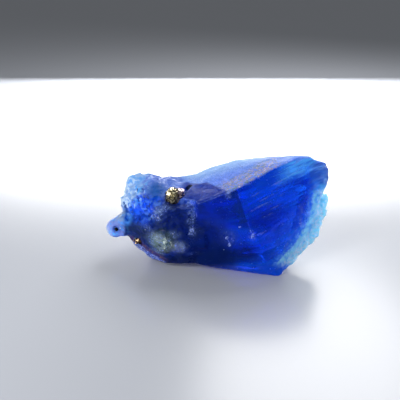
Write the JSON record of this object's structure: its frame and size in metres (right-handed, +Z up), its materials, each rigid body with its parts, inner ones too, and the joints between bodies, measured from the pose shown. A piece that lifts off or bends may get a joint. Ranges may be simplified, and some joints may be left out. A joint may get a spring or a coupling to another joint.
{
  "type": "rough afghanite crystal",
  "caption": "Rough deep blue afghanite crystal with pyrite and calcite grown into it, lying on the flat spot of its underside.",
  "frame": {"origin": "middle of the stone's box in X and Y, at the surface that it lies on", "axes": "+X along the stone towards its high broken end, +Z up; the show face looks along -Y"},
  "size_m": [0.0284, 0.0122, 0.0136],
  "materials": {
    "afghanite": "clear to cloudy deep blue crystal, glossy on fresh faces and frosted on worn ones",
    "calcite": "cloudy grey-green crust",
    "pyrite": "bright faceted metallic gold",
    "tarnished_pyrite": "brown tarnished metallic grains"
  },
  "bodies": {
    "root": {"afghanite_crystal": "afghanite", "calcite_patch": "calcite", "pyrite_cluster": "pyrite", "pyrite_edge_grain": "tarnished_pyrite", "pyrite_speck": "tarnished_pyrite"}
  },
  "joints": []
}
